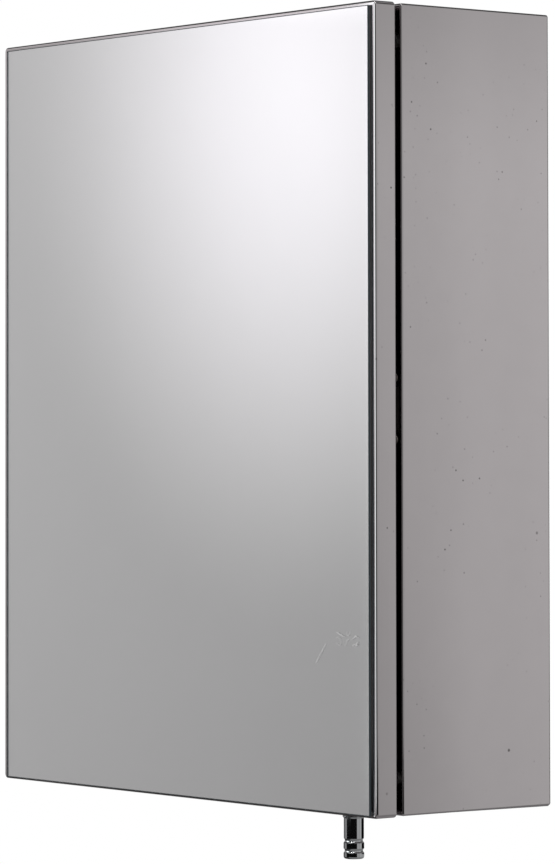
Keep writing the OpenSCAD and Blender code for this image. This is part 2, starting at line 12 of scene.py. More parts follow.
import bmesh
import bpy
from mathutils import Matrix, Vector


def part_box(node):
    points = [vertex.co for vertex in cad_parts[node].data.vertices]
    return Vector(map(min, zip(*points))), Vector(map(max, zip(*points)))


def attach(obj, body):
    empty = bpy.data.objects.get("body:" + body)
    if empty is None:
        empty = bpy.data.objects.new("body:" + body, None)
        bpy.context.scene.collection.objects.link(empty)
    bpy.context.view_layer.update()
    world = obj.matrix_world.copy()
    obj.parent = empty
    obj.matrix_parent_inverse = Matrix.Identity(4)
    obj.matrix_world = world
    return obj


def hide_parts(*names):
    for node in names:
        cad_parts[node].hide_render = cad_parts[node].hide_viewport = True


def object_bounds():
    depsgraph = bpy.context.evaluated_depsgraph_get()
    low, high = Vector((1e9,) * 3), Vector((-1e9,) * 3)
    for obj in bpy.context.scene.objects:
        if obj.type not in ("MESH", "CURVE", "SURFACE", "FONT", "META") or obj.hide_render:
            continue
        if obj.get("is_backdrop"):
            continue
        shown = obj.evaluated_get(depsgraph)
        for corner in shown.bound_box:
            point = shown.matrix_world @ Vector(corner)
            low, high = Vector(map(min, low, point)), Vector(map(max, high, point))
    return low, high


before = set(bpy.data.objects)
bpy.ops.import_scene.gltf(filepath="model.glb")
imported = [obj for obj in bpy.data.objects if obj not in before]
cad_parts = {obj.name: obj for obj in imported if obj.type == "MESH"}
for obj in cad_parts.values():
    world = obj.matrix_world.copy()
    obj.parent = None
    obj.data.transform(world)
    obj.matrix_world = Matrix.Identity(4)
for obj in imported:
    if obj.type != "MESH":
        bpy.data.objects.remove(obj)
cad_low, cad_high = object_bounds()
print(len(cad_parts), "parts, from", tuple(cad_low), "to", tuple(cad_high))

# %% [markdown]
# ## Sizes from the model
#
# Blender works in metres and a workshop in millimetres, so MM turns one into the other. The
# sheet's thickness is the depth of the back panel, which is cut from the same sheet. A press
# brake leaves a radius at every fold, and the front frame is welded in just where it ends.
# A computed corner is never exactly where it should be, so two small lengths say how near is
# near enough: for a corner that lies on a face, and for two corners that are one.

# %% Read the main sizes
MM = 0.001
ON_FACE = 0.01 * MM
ONE_CORNER = 0.001 * MM

back_low, back_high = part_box("back_panel")
SHEET = back_high.y - back_low.y

body_low = Vector(map(min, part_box("body_side_left")[0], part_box("body_bottom")[0]))
body_high = Vector(map(max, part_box("body_side_right")[1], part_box("body_top")[1]))
FOLD = body_high.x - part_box("front_frame")[1].x
tray_low, tray_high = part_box("door_tray")
glass_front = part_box("mirror_glass")[0].y
print(f"sheet {SHEET / MM:.2f} mm, fold radius {FOLD / MM:.2f} mm")

tray_points = [v.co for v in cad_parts["door_tray"].data.vertices]
rim_points = [p for p in tray_points if p.y > tray_high.y - ON_FACE]
DOOR_RETURN = tray_high.x - min(abs(p.x) for p in rim_points)
print(f"the door's return is {DOOR_RETURN / MM:.1f} mm wide")

# %% [markdown]
# ## Tools for materials
#
# A colour is picked on a screen, so it is written as an sRGB hex value, while the renderer
# adds up light in linear values. One function turns the first into the second. Another adds a
# node: what it is set to, and what feeds each of its sockets. The rest do what every material
# needs: they open and close it, size its patterns in millimetres, and make its colour uneven.

# %% Colour and node helpers


def linear(hex_colour):
    """A colour written as #rrggbb, turned from sRGB to linear, with an alpha of 1."""
    channels = [int(hex_colour[i:i + 2], 16) / 255 for i in (1, 3, 5)]
    return [c / 12.92 if c <= 0.04045 else ((c + 0.055) / 1.055) ** 2.4 for c in channels] + [1]


def add_node(tree, kind, settings=(), inputs=()):
    """Adds a node with its settings. An input is a value, or the socket that is linked to it."""
    node = tree.nodes.new("ShaderNode" + kind)
    for name, value in dict(settings).items():
        setattr(node, name, value)
    for name, value in dict(inputs).items():
        if isinstance(value, bpy.types.NodeSocket):
            tree.links.new(value, node.inputs[name])
        else:
            node.inputs[name].default_value = value
    return node


def total(tree, first, *others):
    """The sum of any number of values."""
    for other in others:
        first = add_node(tree, "Math", {"operation": "ADD"}, {0: first, 1: other}).outputs[0]
    return first


def new_material(name):
    """An empty node material and its tree."""
    material = bpy.data.materials.new(name)
    material.use_nodes = True
    material.node_tree.nodes.clear()
    return material, material.node_tree


def finished(material, shader):
    """The material, once its surface shows a shader."""
    add_node(material.node_tree, "OutputMaterial", {}, {"Surface": shader.outputs[0]})
    return material


def clouded(tree, clouds, hex_colour, darkest):
    """A colour that clouds make darker, down to a share of itself."""
    base = linear(hex_colour)
    deep = [darkest * c for c in base[:3]] + [1]
    return add_node(tree, "Mix", {"data_type": "RGBA"},
                    {0: clouds.outputs["Fac"], 6: base, 7: deep}).outputs[2]


def per_mm(size):
    """The scale at which a pattern on Object coordinates repeats about every size millimetres."""
    return 1 / (size * MM)


print("white paper, #f2f2f0, is", [round(c, 3) for c in linear("#f2f2f0")])

# %% [markdown]
# ## Marks on the steel
#
# The buffing wheel doesn't reach every pit, and years of use add a few knocks. Pits lie in
# worn patches, so a pattern of dots is multiplied by a slow noise. The finest grit would be too
# small to show, so its dots are drawn as large as they need to be. Each of the three knocks
# has a place of its own, two on the body's side and one on the door's.

# %% Pits, grit and knocks

# Each knock: how dark it is, from 0 to 1, and where it lies.
KNOCKS = [(1, Vector((body_high.x, -0.0313, -0.1833))),
          (0.7, Vector((body_high.x, -0.0106, -0.067))),
          (0.35, Vector((tray_high.x, -0.1167, -0.202)))]
KNOCK_RIM, KNOCK_FLOOR = 1.1 * MM, 0.4 * MM


def dots(tree, point, spacing, radius, seed):
    """1 inside small dots that lie about spacing mm apart, and 0 between them."""
    cells = add_node(tree, "Mapping", {}, {"Vector": point, "Location": (seed, seed, seed)})
    nearest = add_node(tree, "TexVoronoi", {"feature": "F1"},
                       {"Vector": cells.outputs[0], "Scale": per_mm(spacing), "Randomness": 1})
    edge = radius / spacing
    return add_node(tree, "MapRange", {"interpolation_type": "SMOOTHSTEP"},
                    {"Value": nearest.outputs["Distance"],
                     "From Min": edge, "From Max": 0.4 * edge}).outputs[0]


def steel_marks(tree, point):
    """How dark the steel is marked, and how deep."""
    patches = add_node(tree, "TexNoise", {}, {"Vector": point, "Scale": per_mm(45), "Detail": 2})
    worn = add_node(tree, "MapRange", {},
                    {"Value": patches.outputs["Fac"], "From Min": 0.44, "From Max": 0.64})
    pits, grit = [add_node(tree, "Math", {"operation": "MULTIPLY"}, {0: some, 1: worn.outputs[0]})
                  for some in (dots(tree, point, spacing=8, radius=0.7, seed=3.1),
                               dots(tree, point, spacing=5, radius=0.65, seed=8.3))]
    marked = pits
    for darkness, knock in KNOCKS:
        away = add_node(tree, "VectorMath", {"operation": "DISTANCE"}, {0: point, 1: knock})
        spot = add_node(tree, "MapRange", {},
                        {"Value": away.outputs["Value"], "From Min": KNOCK_RIM,
                         "From Max": KNOCK_FLOOR, "To Max": darkness})
        marked = add_node(tree, "Math", {"operation": "MAXIMUM"},
                          {0: marked.outputs[0], 1: spot.outputs[0]})
    faint = add_node(tree, "Math", {"operation": "MULTIPLY"}, {0: grit.outputs[0], 1: 0.4})
    darkest = add_node(tree, "Math", {"operation": "MAXIMUM"},
                       {0: marked.outputs[0], 1: faint.outputs[0]})
    dark = add_node(tree, "Math", {"operation": "MULTIPLY"}, {0: darkest.outputs[0], 1: 0.8})
    deep = add_node(tree, "Math", {"operation": "MULTIPLY_ADD"},
                    {0: grit.outputs[0], 1: 0.35, 2: marked.outputs[0]})
    return dark.outputs[0], deep.outputs[0]


print(len(KNOCKS), "knocks, each", 2 * KNOCK_RIM / MM, "mm across")

# %% [markdown]
# ## Polished stainless steel
#
# The body and the door are type 430 stainless sheet, rolled bright and buffed. The eye sees
# three things: a slightly warm grey mirror, a slow waviness of the thin sheet that bends what
# it mirrors, and the marks. A metal's colour is its reflection, so the base colour is light
# and the studio makes it grey.

# %% Polished steel material


def polished_steel():
    material, tree = new_material("polished_stainless_steel")
    point = add_node(tree, "TexCoord").outputs["Object"]
    haze = add_node(tree, "TexNoise", {},
                    {"Vector": point, "Scale": per_mm(14), "Detail": 5, "Roughness": 0.6})
    tone = add_node(tree, "MapRange", {},
                    {"Value": haze.outputs["Fac"], "From Min": 0.3, "From Max": 0.7})
    clean = add_node(tree, "Mix", {"data_type": "RGBA"},
                     {0: tone.outputs[0], 6: linear("#c7c2c3"), 7: linear("#c9c4c5")})
    dark, deep = steel_marks(tree, point)
    colour = add_node(tree, "Mix", {"data_type": "RGBA"},
                      {0: dark, 6: clean.outputs[2], 7: linear("#4a4645")})
    gloss = add_node(tree, "MapRange", {},
                     {"Value": haze.outputs["Fac"], "To Min": 0.06, "To Max": 0.09})
    wave = add_node(tree, "TexNoise", {}, {"Vector": point, "Scale": per_mm(120), "Detail": 0})
    bent = add_node(tree, "Bump", {},
                    {"Height": wave.outputs["Fac"], "Strength": 1, "Distance": 0.25 * MM})
    pocked = add_node(tree, "Bump", {"invert": True},
                      {"Height": deep, "Strength": 0.5, "Distance": 0.05 * MM,
                       "Normal": bent.outputs[0]})
    steel = add_node(tree, "BsdfPrincipled", {},
                     {"Base Color": colour.outputs[2], "Metallic": 1,
                      "Roughness": gloss.outputs[0], "Normal": pocked.outputs[0]})
    return finished(material, steel)


POLISHED_STEEL = polished_steel()
print(POLISHED_STEEL.name, len(POLISHED_STEEL.node_tree.nodes), "nodes")

# %% [markdown]
# ## Mill-finish stainless steel
#
# The back panel and the sheet inside the door are left as the rolling mill made them, with a
# faint grain along the roll. Stretching a noise fifty times along one axis draws that grain.
# The bare steel that shears leave on a cut is the same, only duller and much darker: its dullness
# is real, and its dark colour is painted shade for the gap where the cut ends sit.

# %% Mill-finish and cut steel materials


def grained_metal(name, hex_colour, roughness, grain, along):
    """Rolled or cut metal. Grain is the width of one line in mm, and along the axis they follow."""
    material, tree = new_material(name)
    point = add_node(tree, "TexCoord").outputs["Object"]
    stretch = [0.02 if axis == along else 1 for axis in range(3)]
    drawn = add_node(tree, "Mapping", {}, {"Vector": point, "Scale": stretch})
    lines = add_node(tree, "TexNoise", {},
                     {"Vector": drawn.outputs[0], "Scale": per_mm(grain), "Detail": 4})
    cloud = add_node(tree, "TexNoise", {}, {"Vector": point, "Scale": per_mm(30), "Detail": 3})
    low, high = roughness
    gloss = add_node(tree, "MapRange", {},
                     {"Value": lines.outputs["Fac"], "From Min": 0.3, "From Max": 0.7,
                      "To Min": low, "To Max": high})
    colour = clouded(tree, cloud, hex_colour, 0.82)
    bump = add_node(tree, "Bump", {},
                    {"Height": lines.outputs["Fac"], "Strength": 0.4, "Distance": 0.02 * MM})
    metal = add_node(tree, "BsdfPrincipled", {},
                     {"Base Color": colour, "Metallic": 1,
                      "Roughness": gloss.outputs[0], "Normal": bump.outputs[0]})
    return finished(material, metal)


UPRIGHT, DEPTHWISE = 2, 1
MILL_STEEL = grained_metal("mill_finish_stainless_steel", "#bdbab8", (0.24, 0.36), 0.8, UPRIGHT)
ROLLED_STEEL = grained_metal("roll_formed_stainless_steel", "#c9c6c4", (0.16, 0.26), 0.5, UPRIGHT)
# The cut's dullness is real; its dark colour is painted shade for the gap where the cut ends sit.
CUT_STEEL_AND_SHADE = grained_metal("sheared_steel_edge_and_painted_shade", "#3b3836", (0.5, 0.6), 0.4, DEPTHWISE)
print(MILL_STEEL.name, ROLLED_STEEL.name, CUT_STEEL_AND_SHADE.name)

# %% [markdown]
# ## Plated metals
#
# Hinges and the strike are mild steel with a bright zinc plating: paler than stainless, and
# softer in its shine. Screws are tumbled in a nickel bath, which leaves them satin. The pull
# and the shelf pins are chrome, the glossiest metal of all, so a chrome part shows little but
# the room around it.

# %% Zinc, nickel and chrome materials


def plated_metal(name, hex_colour, roughness, bump_mm):
    """Metal plated in a bath: even in colour, with a fine orange peel."""
    material, tree = new_material(name)
    point = add_node(tree, "TexCoord").outputs["Object"]
    peel = add_node(tree, "TexNoise", {}, {"Vector": point, "Scale": per_mm(1.5), "Detail": 3})
    cloud = add_node(tree, "TexNoise", {}, {"Vector": point, "Scale": per_mm(12), "Detail": 2})
    colour = clouded(tree, cloud, hex_colour, 0.86)
    low, high = roughness
    gloss = add_node(tree, "MapRange", {},
                     {"Value": cloud.outputs["Fac"], "To Min": low, "To Max": high})
    bump = add_node(tree, "Bump", {},
                    {"Height": peel.outputs["Fac"], "Strength": 0.3, "Distance": bump_mm * MM})
    metal = add_node(tree, "BsdfPrincipled", {},
                     {"Base Color": colour, "Metallic": 1,
                      "Roughness": gloss.outputs[0], "Normal": bump.outputs[0]})
    return finished(material, metal)


ZINC_STEEL = plated_metal("zinc_plated_steel", "#c3c4c4", (0.2, 0.34), 0.03)
NICKEL_STEEL = plated_metal("nickel_plated_steel", "#b8b4ae", (0.34, 0.44), 0.01)
CHROME = plated_metal("bright_chrome", "#d6d8da", (0.03, 0.06), 0.002)
print(ZINC_STEEL.name, NICKEL_STEEL.name, CHROME.name)

# %% [markdown]
# ## Glass and silver
#
# A mirror is clear float glass with silver on its back. Most of the picture comes from the
# silver, a little from the front of the glass, and the edge goes dark because light that
# enters there bounces on inside. Most of that comes by itself when the glass is a real slab
# with an index of 1.52. Shelf glass is the same glass, but its ground edges are greenish and
# dull. The old mirror is scratched near its right edge: two straight scratches, and a scribble
# of hairlines, which run where a slow noise crosses its middle value.

# %% Clear and scratched glass


def clear_glass(tree):
    """The shader of clear float glass."""
    return add_node(tree, "BsdfPrincipled", {},
                    {"Base Color": linear("#fbfcfc"), "Roughness": 0, "IOR": 1.52,
                     "Transmission Weight": 1})


def float_glass():
    material, tree = new_material("float_glass")
    return finished(material, clear_glass(tree))


def near_zero(tree, value, half):
    """1 where value lies within half either side of 0."""
    size = add_node(tree, "Math", {"operation": "ABSOLUTE"}, {0: value})
    return add_node(tree, "Math", {"operation": "LESS_THAN"},
                    {0: size.outputs[0], 1: half}).outputs[0]


# Each straight scratch: its middle, its turn from upright in degrees, and half its length and
# half its width in mm.
SCRATCHES = [(Vector((0.1265, 0, -0.130)), 39, 7, 0.15),
             (Vector((0.1429, 0, -0.1193)), -71, 3.2, 0.2)]
SCRIBBLE = Vector((0.1485, 0, -0.1215))
SCRIBBLE_HALF_WIDTH, SCRIBBLE_HALF_HEIGHT = 9 * MM, 4 * MM


def in_frame_of(tree, point, centre, turn=0):
    """The x and z of a point as measured from a centre, along axes turned by so many degrees."""
    placed = add_node(tree, "Mapping", {"vector_type": "TEXTURE"},
                      {"Vector": point, "Location": centre, "Rotation": (0, math.radians(turn), 0)})
    axes = add_node(tree, "SeparateXYZ", {}, {0: placed.outputs[0]})
    return axes.outputs[0], axes.outputs[2]


def scratched_glass():
    """Float glass with scratches, in which fine dust lies."""
    material, tree = new_material("scratched_float_glass")
    point = add_node(tree, "TexCoord").outputs["Object"]
    across, up = in_frame_of(tree, point, SCRIBBLE)
    curls = add_node(tree, "TexNoise", {}, {"Vector": point, "Scale": per_mm(7), "Detail": 1})
    middle = add_node(tree, "Math", {"operation": "SUBTRACT"}, {0: curls.outputs["Fac"], 1: 0.5})
    hairs = add_node(tree, "Math", {"operation": "MULTIPLY"},
                     {0: near_zero(tree, middle.outputs[0], 0.008),
                      1: near_zero(tree, across, SCRIBBLE_HALF_WIDTH)})
    marks = [(hairs.outputs[0], near_zero(tree, up, SCRIBBLE_HALF_HEIGHT))]
    for scratch, turn, half_length, half_width in SCRATCHES:
        across, up = in_frame_of(tree, point, scratch, turn)
        marks.append((near_zero(tree, across, half_width * MM),
                      near_zero(tree, up, half_length * MM)))
    marks = [add_node(tree, "Math", {"operation": "MULTIPLY"}, {0: one, 1: other}).outputs[0]
             for one, other in marks]
    faint = add_node(tree, "Math", {"operation": "MULTIPLY"}, {0: total(tree, *marks), 1: 0.38})
    dust = add_node(tree, "BsdfPrincipled", {}, {"Base Color": linear("#f2f2f2"), "Roughness": 0.9})
    mixed = add_node(tree, "MixShader", {},
                     {0: faint.outputs[0], 1: clear_glass(tree).outputs[0], 2: dust.outputs[0]})
    return finished(material, mixed)


FLOAT_GLASS = float_glass()
MIRROR_GLASS = scratched_glass()
print(FLOAT_GLASS.name, MIRROR_GLASS.name)

# %% [markdown]
# A grinding belt leaves a frost on the edges of a pane. The mirror's edge is seamed fine, and its
# dark colour is painted shade: little light comes out of the edge, because paint covers the back of
# the pane, and the dark colour stands in for that. The silver is almost a perfect mirror, and age
# makes its colour a little uneven.

# %% Ground edges and silver


def ground_edge(name, hex_colour, roughness, depth, clear):
    """The edge of a pane after a grinding belt: a frost whose scratches are depth mm deep."""
    material, tree = new_material(name)
    point = add_node(tree, "TexCoord").outputs["Object"]
    grit = add_node(tree, "TexNoise", {}, {"Vector": point, "Scale": per_mm(0.6), "Detail": 3})
    bump = add_node(tree, "Bump", {},
                    {"Height": grit.outputs["Fac"], "Strength": 0.3, "Distance": depth * MM})
    edge = add_node(tree, "BsdfPrincipled", {},
                    {"Base Color": linear(hex_colour), "Roughness": roughness, "IOR": 1.52,
                     "Transmission Weight": clear, "Normal": bump.outputs[0]})
    return finished(material, edge)


def mirror_silver():
    material, tree = new_material("silvering_under_paint")
    point = add_node(tree, "TexCoord").outputs["Object"]
    age = add_node(tree, "TexNoise", {}, {"Vector": point, "Scale": per_mm(60), "Detail": 4})
    colour = add_node(tree, "Mix", {"data_type": "RGBA"},
                      {0: age.outputs["Fac"], 6: linear("#f9f9f9"), 7: linear("#f6f6f6")})
    silver = add_node(tree, "BsdfPrincipled", {},
                      {"Base Color": colour.outputs[2], "Metallic": 1, "Roughness": 0.02})
    return finished(material, silver)


# The mirror edge's dark base colour is painted shade, not the colour of the glass.
MIRROR_EDGE_PAINTED_SHADE = ground_edge("seamed_mirror_edge_painted_shade", "#3c454a", 0.3, depth=0.003, clear=0.2)
SHELF_EDGE = ground_edge("ground_shelf_edge", "#9fc9bb", 0.35, depth=0.03, clear=1)
SILVER = mirror_silver()
print(MIRROR_EDGE_PAINTED_SHADE.name, SHELF_EDGE.name, SILVER.name)

# %% [markdown]
# ## Plastics, board and tape
#
# The rest is small: a moulded catch housing in white ABS, clear vinyl sleeves, silicone
# bumpers, a black ferrite magnet, honeycomb board in the door and white foam tape under the
# mirror. Each has a fine texture of its own, such as moulding grain or paper fibres.

# %% Plastic, board and tape materials


def moulded(name, hex_colour, roughness, grain, depth, clear=0.0):
    """A dull or glossy solid whose texture is grain mm across and depth mm deep."""
    material, tree = new_material(name)
    point = add_node(tree, "TexCoord").outputs["Object"]
    fine = add_node(tree, "TexNoise", {}, {"Vector": point, "Scale": per_mm(grain), "Detail": 4})
    cloud = add_node(tree, "TexNoise", {},
                     {"Vector": point, "Scale": per_mm(20 * grain), "Detail": 2})
    colour = clouded(tree, cloud, hex_colour, 0.88)
    bump = add_node(tree, "Bump", {},
                    {"Height": fine.outputs["Fac"], "Strength": 0.5, "Distance": depth * MM})
    solid = add_node(tree, "BsdfPrincipled", {},
                     {"Base Color": colour, "Roughness": roughness, "IOR": 1.49,
                      "Transmission Weight": clear, "Normal": bump.outputs[0]})
    return finished(material, solid)


WHITE_ABS = moulded("moulded_white_abs", "#ecebe6", 0.38, 0.5, 0.01)
CLEAR_VINYL = moulded("clear_vinyl", "#e9efee", 0.25, 2.0, 0.02, clear=0.85)
SILICONE = moulded("clear_silicone", "#b4b8b7", 0.3, 1.0, 0.01, clear=0.92)
FERRITE = moulded("sintered_ferrite", "#2c2c2e", 0.6, 0.4, 0.03)
BOARD = moulded("kraft_honeycomb_board", "#b58f62", 0.9, 0.8, 0.1)
FOAM_TAPE = moulded("white_foam_tape", "#eeeeea", 0.85, 0.5, 0.05)
print(WHITE_ABS.name, CLEAR_VINYL.name, SILICONE.name, FERRITE.name, BOARD.name, FOAM_TAPE.name)

# %% [markdown]
# ## Tools for pieces
#
# Every piece is finished in the same way: its mesh becomes an object, smooth where it is
# curved and sharp where two faces meet at an angle, it moves with a body of the model, and the
# parts of the imported model that it stands for are hidden. Weighted normals let a wide flat face
# shade as truly flat right up to a small rounded edge.

# %% Piece helpers


def new_piece(name, bm, body, materials, replaces=(), sharp_angle=35):
    """Turns a bmesh into a finished object that moves with a body of the model."""
    mesh = bpy.data.meshes.new(name)
    bm.to_mesh(mesh)
    bm.free()
    for material in materials:
        mesh.materials.append(material)
    mesh.shade_smooth()
    mesh.set_sharp_from_angle(angle=math.radians(sharp_angle))
    piece = bpy.data.objects.new(name, mesh)
    bpy.context.scene.collection.objects.link(piece)
    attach(piece, body)
    if replaces:
        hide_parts(*replaces)
    print(f"{name}: {len(mesh.polygons)} faces")
    return piece


def weigh_normals(piece):
    modifier = piece.modifiers.new("flat_faces", "WEIGHTED_NORMAL")
    modifier.keep_sharp = True


def box_between(low, high):
    """A bmesh box between two corners."""
    bm = bmesh.new()
    bmesh.ops.create_cube(bm, size=1)
    bmesh.ops.scale(bm, vec=Vector(high) - Vector(low), verts=bm.verts)
    bmesh.ops.translate(bm, vec=(Vector(low) + Vector(high)) / 2, verts=bm.verts)
    return bm


def round_edges(bm, edges, radius, segments):
    bmesh.ops.bevel(bm, geom=edges, offset=radius, offset_type="OFFSET", affect="EDGES",
                    segments=segments, profile=0.5, material=-1, clamp_overlap=True)


print("helpers for pieces are ready")

# %% [markdown]
# ## The folded body
#
# Four panels make the body. Each is a strip of sheet, folded round along its front and back,
# and the panels meet in mitred corners that are welded and polished. The simplest way to get
# folds that agree at every corner is to start from one closed box, round its edges as the
# press brake does, cut the front and the back open, and part the skin at the mitres. A
# Solidify modifier then gives the skin the sheet's thickness, inwards. Where an edge is cut
# and not welded, a fine bevel takes its sharpness off.

# %% Skin of a folded box
FOLD_STEPS = 6


def widest_face(bm, facing):
    """The large flat face at the front, facing -1, or at the back, facing 1."""
    return max(bm.faces, key=lambda f: facing * f.normal.y * f.calc_area())


def folded_box(low, high, open_front, flange):
    """The skin of a box with rounded edges, open behind inside a flange, and in front if asked."""
    bm = box_between(low, high)
    round_edges(bm, bm.edges[:], FOLD, FOLD_STEPS)
    for facing in (-1, 1) if open_front else (1,):
        face = widest_face(bm, facing)
        if flange > FOLD:
            bmesh.ops.inset_region(bm, faces=[face], thickness=flange - FOLD, use_even_offset=True)
        bmesh.ops.delete(bm, geom=[face], context="FACES")
    return bm


def give_thickness(piece, cut_radius=0.0):
    """The sheet's thickness, inwards from the skin, and a fine radius on its cut edges."""
    wall = piece.modifiers.new("sheet", "SOLIDIFY")
    wall.thickness = SHEET
    wall.offset = -1
    wall.use_even_offset = True
    if cut_radius:
        rim = piece.modifiers.new("cut_edges", "BEVEL")
        rim.width = cut_radius
        rim.segments = 2
        rim.limit_method = "ANGLE"
        rim.angle_limit = math.radians(50)
    weigh_normals(piece)


print("each fold turns in", FOLD_STEPS, "steps")

# %% [markdown]
# A mitre is a plane through a corner at 45 degrees. The same closed box is made for each
# panel, and everything beyond its two mitres is cut off, so neighbours meet exactly.

# %% Part the body at its mitres


def mitre_planes(corners):
    """For each corner, a point on its mitre, and the normal that looks away from the panel."""
    middle = (corners[0] + corners[1]) / 2
    for corner in corners:
        along = Vector((math.copysign(1, corner.x), 0, math.copysign(1, corner.z)))
        across = Vector((along.z, 0, -along.x))
        if across.dot(middle - corner) > 0:
            across = -across
        yield corner, across


def body_panel(name, signs):
    """The part of the body's skin between two neighbouring corners."""
    bm = folded_box(body_low, body_high, True, FOLD)
    corners = [Vector((body_high.x * sx, 0, body_high.z * sz)) for sx, sz in signs]
    for point, normal in mitre_planes(corners):
        everything = bm.verts[:] + bm.edges[:] + bm.faces[:]
        bmesh.ops.bisect_plane(bm, geom=everything, plane_co=point, plane_no=normal,
                               clear_outer=True)
    piece = new_piece("dressed_" + name, bm, "cabinet", [POLISHED_STEEL], [name])
    give_thickness(piece)


body_panel("body_top", ((-1, 1), (1, 1)))
body_panel("body_bottom", ((-1, -1), (1, -1)))
body_panel("body_side_left", ((-1, 1), (-1, -1)))
body_panel("body_side_right", ((1, 1), (1, -1)))

# %% [markdown]
# ## The door tray
#
# The door is a shallow tray with its edges folded back and returned behind, like the lid of a
# biscuit tin. Beside a fold the flat sheet slopes back a little, and the tray's four corners
# are polished round. Both are made by moving points of the finished skin. For the corners,
# the skin is first parted in steps where the curve will be, so that it has points to move.

# %% Shape of the tray's front and corners
CORNER_STEPS = 6


def spring_back(bm, width, drop):
    """Lets the front face slope back by drop over a border of the given width."""
    face = widest_face(bm, -1)
    border = face.verts[:]
    bmesh.ops.inset_region(bm, faces=[face], thickness=width, use_even_offset=True)
    bmesh.ops.translate(bm, vec=(0, drop, 0), verts=border)


def cut_round(bm, axis, place):
    """Parts every face that crosses a plane, without taking anything away."""
    normal = Vector((0, 0, 0))
    normal[axis] = 1
    everything = bm.verts[:] + bm.edges[:] + bm.faces[:]
    bmesh.ops.bisect_plane(bm, geom=everything, plane_co=place * normal, plane_no=normal)


def soften_corners(bm, low, high, radius):
    """Draws the four corners in, as seen from the front, to a curve of the given radius."""
    for axis in (0, 2):
        for step in range(CORNER_STEPS):
            inset = radius * (1 - step / CORNER_STEPS)
            cut_round(bm, axis, low[axis] + inset)
            cut_round(bm, axis, high[axis] - inset)
    bmesh.ops.remove_doubles(bm, verts=bm.verts, dist=ON_FACE)
    middle, half = (low + high) / 2, (high - low) / 2
    for vert in bm.verts:
        out = [abs(vert.co[a] - middle[a]) - (half[a] - radius) for a in (0, 2)]
        if min(out) > 0:
            pull_in = 1 - max(out) / math.hypot(*out)
            for a, reach in zip((0, 2), out):
                vert.co[a] -= math.copysign(pull_in * reach, vert.co[a] - middle[a])


bm = folded_box(tray_low, tray_high, False, DOOR_RETURN)
spring_back(bm, width=3 * MM, drop=0.14 * MM)
soften_corners(bm, tray_low, tray_high, radius=2.5 * MM)
print("the tray's skin has", len(bm.faces), "faces")

# %% [markdown]
# The tray's return is cut away beside each hinge, down to a short stub, so that the hinge arm
# can swing through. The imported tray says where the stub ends, and the pocket of the hinge how
# high the window is.

# %% Windows for the hinges
NOTCH_GAP = 0.4 * MM
TRAY_CUT_EDGE = 0.12 * MM


def cut_window(bm, low, high):
    """Cuts the skin away between two corners. It is parted right round, so no seam ends midway."""
    for corner in (low, high):
        for axis in (0, 2):
            cut_round(bm, axis, corner[axis])
    bmesh.ops.remove_doubles(bm, verts=bm.verts, dist=ON_FACE)
    window = [f for f in bm.faces
              if all(low[a] < f.calc_center_median()[a] < high[a] for a in range(3))]
    bmesh.ops.delete(bm, geom=window, context="FACES")


for hinge in ("hinge_box_upper", "hinge_box_lower"):
    box_low, box_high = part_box(hinge)
    beside_box = [p.x for p in rim_points if abs(p.z - box_low.z) < MM]
    stub_x = min(x for x in beside_box if x > tray_low.x + FOLD + 0.1 * MM)
    cut_window(bm, Vector((stub_x, tray_high.y - SHEET, box_low.z - NOTCH_GAP)),
               Vector((tray_low.x + DOOR_RETURN + MM, tray_high.y + SHEET, box_high.z + NOTCH_GAP)))
    print(hinge, "stub", round((stub_x - tray_low.x) / MM, 2), "mm")
door_skin = new_piece("dressed_door_tray", bm, "door", [POLISHED_STEEL],
                      ["door_tray"])
give_thickness(door_skin, TRAY_CUT_EDGE)

# %% [markdown]
# ## The mirror
#
# The mirror is a plain pane with its sharp edges just taken off on a belt. The silver must
# not share a plane with the back of the glass, or the renderer can't tell which comes first,
# so it reaches a few hundredths of a millimetre into the glass.

# %% Glass and silver
SILVER_INSET = 0.02 * MM
SILVER_SINK = 0.03 * MM


def dress_pane(name, node, body, material, edge_material, arris):
    """A clear pane with ground edges, each with an arris: a narrow flat, arris mm wide."""
    low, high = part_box(node)
    bm = box_between(low, high)
    round_edges(bm, bm.edges[:], arris * MM, 1)
    thin = min(range(3), key=lambda a: high[a] - low[a])
    for face in bm.faces:
        face.material_index = 0 if abs(face.normal[thin]) > 0.9 else 1
    return new_piece(name, bm, body, [material, edge_material], [node])


dress_pane("mirror_pane", "mirror_glass", "door", MIRROR_GLASS, MIRROR_EDGE_PAINTED_SHADE, 0.25)

silver_low, silver_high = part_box("mirror_silvering")
inset = Vector((SILVER_INSET, 0, SILVER_INSET))
bm = box_between(silver_low + inset - Vector((0, SILVER_SINK, 0)), silver_high - inset)
new_piece("mirror_silver", bm, "door", [SILVER], ["mirror_silvering"])

for shelf in ("shelf_upper", "shelf_lower"):
    dress_pane("glass_" + shelf, shelf, "cabinet", FLOAT_GLASS, SHELF_EDGE, 0.6)

# %% [markdown]
# ## The pull
#
# The pull is a chrome pin turned on a lathe: a collar against the door, a plain shaft, and
# two grooves that leave two beads for the fingertips. A lathe turns a profile about an axis,
# and so does the spin operator, so the profile is drawn once as a chain of points.

# %% Turning a profile
GROOVE, GROOVE_DEPTH = 2.4 * MM, 0.65 * MM


def groove_points(radius_above, radius_below, start, steps=10):
    """A hollow of half a sine wave, from start down: radius and distance below the door."""
    for i in range(steps + 1):
        share = i / steps
        straight = radius_above + (radius_below - radius_above) * share
        yield straight - GROOVE_DEPTH * math.sin(math.pi * share), start + GROOVE * share


